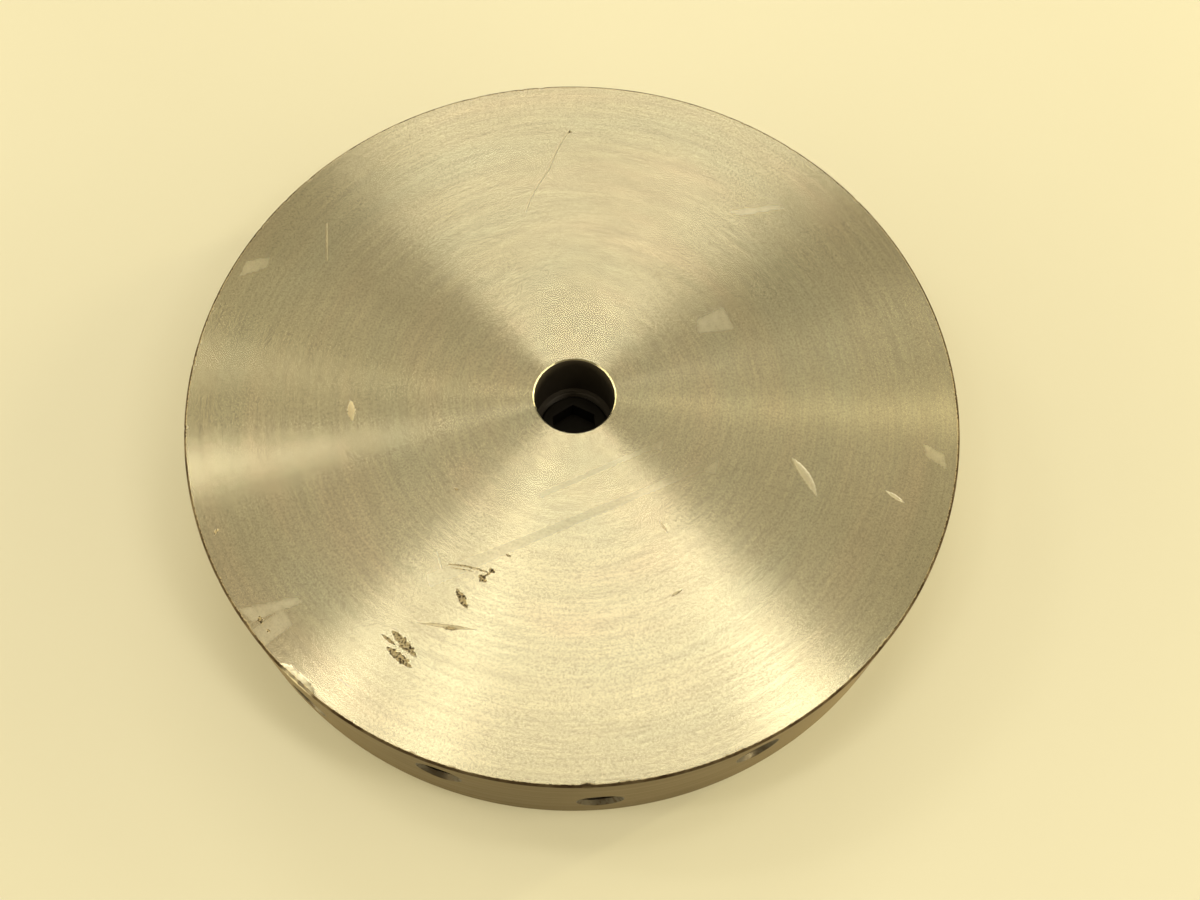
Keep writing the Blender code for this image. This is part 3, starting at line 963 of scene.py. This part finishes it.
def finish_piece(name, mesh, body, replaced, matrix=None):
    """Makes the mesh an object that rides on its body and replaces its CAD nodes."""
    mesh.shade_smooth()
    mesh.set_sharp_from_angle(angle=SHARP_ANGLE)
    piece = bpy.data.objects.new(name, mesh)
    bpy.context.scene.collection.objects.link(piece)
    if matrix:
        piece.matrix_world = matrix
    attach(piece, body)
    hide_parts(*replaced)


# --- Screws, plug and rings ---------------------------------------------------------------
def threaded_rod(length, crest, thread, pitch, end_breaks, count):
    """Rows of a threaded rod along Z from 0 to length; end_breaks are the 45 degree ends."""
    rows = []
    steps = int(length / pitch * 7)
    for k in range(steps + 1):
        z = length * k / steps
        row = []
        for i in range(count):
            turn = i / count
            radius = crest - thread * thread_wave(z, turn, pitch)
            low = crest - end_breaks[0] + z
            high = crest - end_breaks[1] + (length - z)
            radius = min(radius, low, high)
            angle = 2.0 * math.pi * turn
            row.append((radius * math.cos(angle), radius * math.sin(angle), z))
        rows.append(row)
    return rows


def cut_from(mesh, cutter_mesh, name):
    """Mesh less the cutter, by an exact Boolean."""
    body = bpy.data.objects.new(name, mesh)
    cutter = bpy.data.objects.new(name + "_cutter", cutter_mesh)
    for obj in (body, cutter):
        bpy.context.scene.collection.objects.link(obj)
    boolean = body.modifiers.new("cut", "BOOLEAN")
    boolean.operation = "DIFFERENCE"
    boolean.solver = "EXACT"
    boolean.object = cutter
    bpy.context.view_layer.update()
    result = bpy.data.meshes.new_from_object(body.evaluated_get(bpy.context.evaluated_depsgraph_get()))
    for obj in (body, cutter):
        bpy.data.objects.remove(obj, do_unlink=True)
    result.name = name
    return result


def box_mesh(size, middle):
    mesh = bpy.data.meshes.new("box")
    work = bmesh.new()
    bmesh.ops.create_cube(work, size=1.0)
    bmesh.ops.scale(work, vec=size, verts=work.verts)
    bmesh.ops.translate(work, vec=middle, verts=work.verts)
    work.to_mesh(mesh)
    work.free()
    return mesh


def make_rim_screws(material):
    skin = Skin()
    rows = threaded_rod(SCREW_LENGTH, SCREW_RADIUS, SCREW_THREAD_DEPTH, HOLE_PITCH, SCREW_BREAKS, 40)
    skin.band(rows, 0)
    skin.cap(rows[0], 0)
    skin.cap(rows[-1], 0)
    rod = skin.mesh("rim_screw_rod", [material])
    slot_box = box_mesh((18.0 * MM, SLOT_WIDTH, 2.0 * SLOT_DEPTH), (0.0, 0.0, SCREW_LENGTH))
    slotted = cut_from(rod, slot_box, "slotted_screw")
    seat = DISC_RADIUS - SCREW_RECESS - SCREW_LENGTH
    for index, (body, azimuth, height) in enumerate(hole_places()):
        outward = Vector((*polar(1.0, azimuth), 0.0))
        frame_turn = outward.to_track_quat("Z", "Y").to_matrix().to_4x4()
        place = Matrix.Translation(Vector((0.0, 0.0, height)) + outward * seat)
        slot_turn = Matrix.Rotation(SLOT_TURN * index, 4, "Z")
        name = f"set_screw_{index + 1:02d}"
        finish_piece(name, slotted, body, [body], place @ frame_turn @ slot_turn)


def make_plug(material):
    height = plug_high.z - plug_low.z
    skin = Skin()
    breaks = (PLUG_BREAK, PLUG_BREAK)
    rows = threaded_rod(height, PLUG_RADIUS, PLUG_THREAD_DEPTH, PLUG_PITCH, breaks, 96)
    skin.band(rows, 0)
    skin.cap(rows[0], 0)
    skin.cap(rows[-1], 0)
    rod = skin.mesh("plug_rod", [material])
    prism = bpy.data.meshes.new("prism")
    work = bmesh.new()
    corner = SOCKET_FLATS / math.sqrt(3.0)
    bmesh.ops.create_cone(
        work, cap_ends=True, segments=6, radius1=corner, radius2=corner, depth=2.0 * SOCKET_DEPTH)
    bmesh.ops.translate(work, vec=(0.0, 0.0, height), verts=work.verts)
    work.to_mesh(prism)
    work.free()
    socketed = cut_from(rod, prism, "hex_socket_plug")
    place = Matrix.Translation((0.0, 0.0, plug_low.z))
    finish_piece("hex_socket_plug", socketed, "centre_plug", ["centre_plug"], place)


def make_ring(name, node, material, width, round_count, section_count):
    """Ring with a squeezed oval section, in its CAD node's box."""
    low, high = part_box(node)
    middle = high.x - width / 2.0
    half_width = width / 2.0
    half_height = (high.z - low.z) / 2.0
    centre_z = (high.z + low.z) / 2.0
    rows = []
    for i in range(round_count):
        azimuth = 2.0 * math.pi * i / round_count
        row = []
        for k in range(section_count):
            angle = 2.0 * math.pi * k / section_count
            across = math.copysign(abs(math.cos(angle)) ** 0.8, math.cos(angle))
            rise = math.copysign(abs(math.sin(angle)) ** 0.8, math.sin(angle))
            x, y = polar(middle + half_width * across, azimuth)
            row.append((x, y, centre_z + half_height * rise))
        rows.append(row)
    skin = Skin()
    skin.band(rows + [rows[0]], 0)
    finish_piece(name, skin.mesh(name, [material]), "flange", [node])


def make_floor(material):
    bpy.ops.mesh.primitive_plane_add(size=4.0, location=(0.0, 0.0, 0.0))
    floor = bpy.context.object
    floor.name = "floor"
    floor.visible_shadow = False
    floor.data.materials.append(material)


def main():
    make_camera()
    make_lights()
    make_floor(pale_bench())
    black = blackened_steel()
    make_disc([faced_steel(), turned_rim_steel(), dark_bore_steel(), tapped_hole_steel_with_painted_shade()])
    make_rim_screws(black)
    make_plug(oiled_plug_steel())
    make_ring(
        "pressed_seal_ring", "face_seal_ring", moulded_rubber(), FACE_RING_WIDTH, 288, 20)
    make_ring("copper_seal_ring", "plug_seal_ring", soft_copper(), PLUG_RING_WIDTH, 96, 16)


main()
